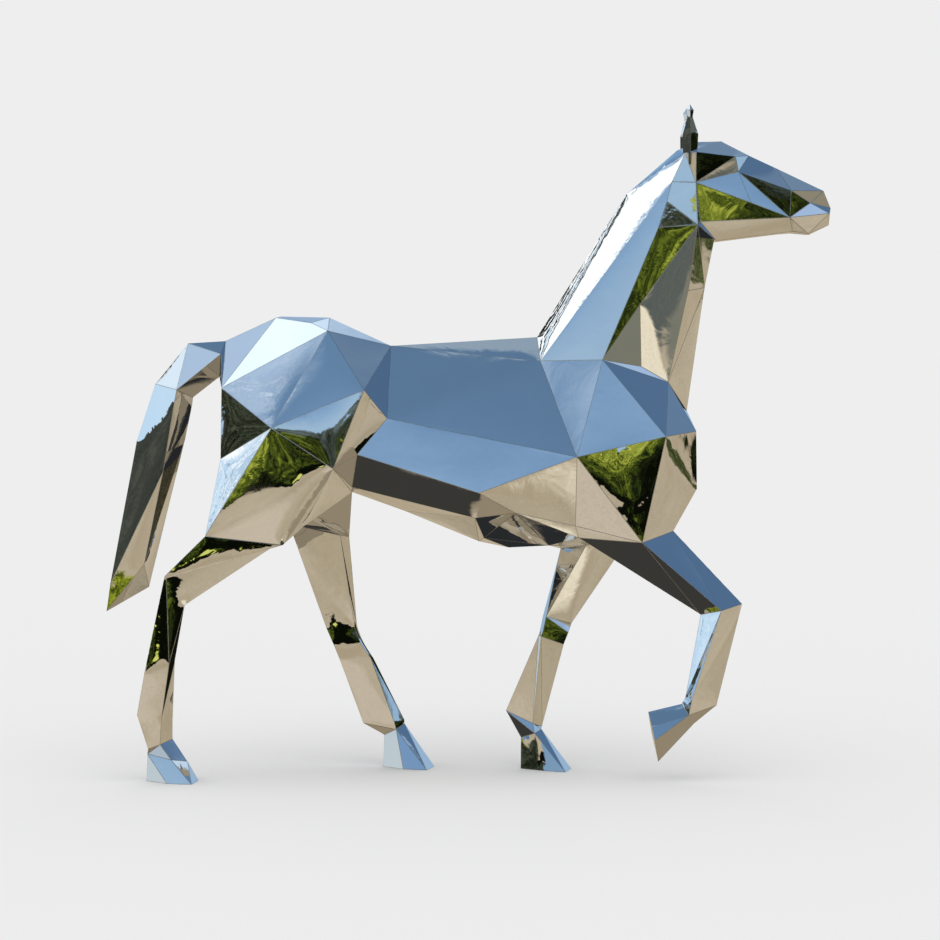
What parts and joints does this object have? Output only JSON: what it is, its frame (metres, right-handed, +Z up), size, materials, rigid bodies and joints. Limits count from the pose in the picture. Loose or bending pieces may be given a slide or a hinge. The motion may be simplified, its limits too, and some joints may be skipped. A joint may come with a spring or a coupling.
{
  "type": "geometric metal horse sculpture",
  "caption": "Life-size striding horse sculpture welded from flat mirror-polished stainless steel facets, one foreleg raised, standing free on its hooves",
  "frame": {"origin": "middle of the bounding box at ground level; the standing hooves rest on z = 0", "axes": "+X towards the horse's head, +Z up, +Y towards its left side (the raised foreleg is on the -Y side)"},
  "size_m": [2.578, 0.61, 2.376],
  "materials": {
    "mirror_stainless": "mirror-polished stainless steel sheet, hand polished along the welded seams"
  },
  "bodies": {
    "root": {"horse": "mirror_stainless"}
  },
  "joints": []
}
